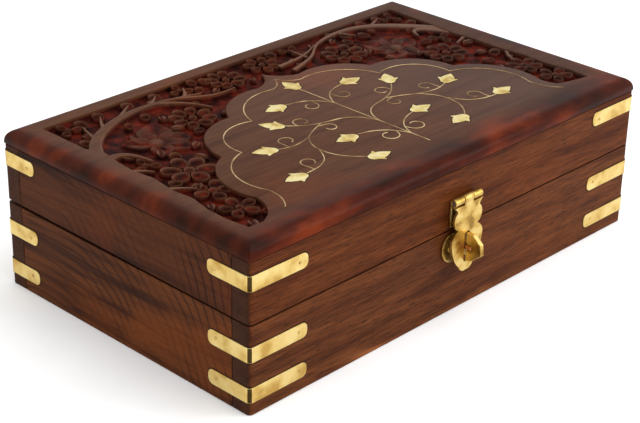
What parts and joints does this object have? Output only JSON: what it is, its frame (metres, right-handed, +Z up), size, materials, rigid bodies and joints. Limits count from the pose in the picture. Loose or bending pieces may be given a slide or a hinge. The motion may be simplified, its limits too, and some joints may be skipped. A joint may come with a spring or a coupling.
{
  "type": "jewelry box",
  "caption": "Hinged wooden jewelry box with brass corner straps, a carved lid inlaid with a brass vine, and a front hasp that closes over a turning staple.",
  "frame": {"origin": "on the surface it stands on, under the middle of the wooden box", "axes": "+X along the box's length, to the right when looking at the front; the front with the hasp faces -Y and the hinges are at +Y; +Z up"},
  "size_m": [0.2548, 0.1746, 0.0761],
  "materials": {
    "rosewood": "varnished rosewood, satin",
    "carved_rosewood": "varnished rosewood with a carved ground stained dark red",
    "brass": "hand-filed brass",
    "inlay_brass": "brass sheet and wire inlay, sanded flush",
    "steel_pin": "plain wire",
    "copper": "copper-coloured rivet",
    "velvet": "short pile"
  },
  "bodies": {
    "base": {"base_front_board": "rosewood", "base_back_board": "rosewood", "base_left_board": "rosewood", "base_right_board": "rosewood", "bottom_panel": "rosewood", "base_floor_pad": "velvet", "base_lining_front": "velvet", "base_lining_back": "velvet", "base_lining_left": "velvet", "base_lining_right": "velvet", "base_strap_low_front_left": "brass", "base_strap_high_front_left": "brass", "base_strap_low_front_right": "brass", "base_strap_high_front_right": "brass", "base_strap_low_back_left": "brass", "base_strap_high_back_left": "brass", "base_strap_low_back_right": "brass", "base_strap_high_back_right": "brass", "hinge_left_base_leaf": "brass", "hinge_left_pin": "steel_pin", "hinge_right_base_leaf": "brass", "hinge_right_pin": "steel_pin", "staple_plate": "brass", "staple_nail_left": "brass", "staple_nail_right": "brass"},
    "lid": {"lid_pad": "velvet", "lid_front_board": "rosewood", "lid_back_board": "rosewood", "lid_left_board": "rosewood", "lid_right_board": "rosewood", "carved_panel": "carved_rosewood", "medallion_wire": "inlay_brass", "vine_wire": "inlay_brass", "inlay_leaf_top_middle": "inlay_brass", "inlay_leaf_upper_left": "inlay_brass", "inlay_leaf_upper_right": "inlay_brass", "inlay_leaf_shoulder_left": "inlay_brass", "inlay_leaf_shoulder_right": "inlay_brass", "inlay_leaf_outer_left": "inlay_brass", "inlay_leaf_outer_right": "inlay_brass", "inlay_leaf_tip_left": "inlay_brass", "inlay_leaf_tip_right": "inlay_brass", "inlay_leaf_foot_left": "inlay_brass", "inlay_leaf_foot_right": "inlay_brass", "inlay_leaf_lower_left": "inlay_brass", "inlay_leaf_lower_right": "inlay_brass", "lid_strap_front_left": "brass", "lid_strap_front_right": "brass", "lid_strap_back_left": "brass", "lid_strap_back_right": "brass", "hinge_left_lid_leaf": "brass", "hinge_right_lid_leaf": "brass", "hasp_fixed_leaf": "brass", "hasp_pin": "steel_pin", "hasp_nail_left": "brass", "hasp_nail_right": "brass"},
    "hasp": {"hasp_plate": "brass"},
    "turn_button": {"turn_wing": "brass", "turn_post": "copper"}
  },
  "joints": [
    {"name": "lid_hinge", "type": "hinge", "parent": "base", "child": "lid", "pos_m": [0, 0.0808, 0.04175], "axis": [-1, 0, 0], "range_deg": [0, 105]},
    {"name": "hasp_hinge", "type": "hinge", "parent": "lid", "child": "hasp", "pos_m": [0, -0.0812, 0.056], "axis": [-1, 0, 0], "range_deg": [0, 175]},
    {"name": "staple_turn", "type": "hinge", "parent": "base", "child": "turn_button", "pos_m": [0, -0.084, 0.033], "axis": [0, -1, 0], "range_deg": [0, 90]}
  ]
}
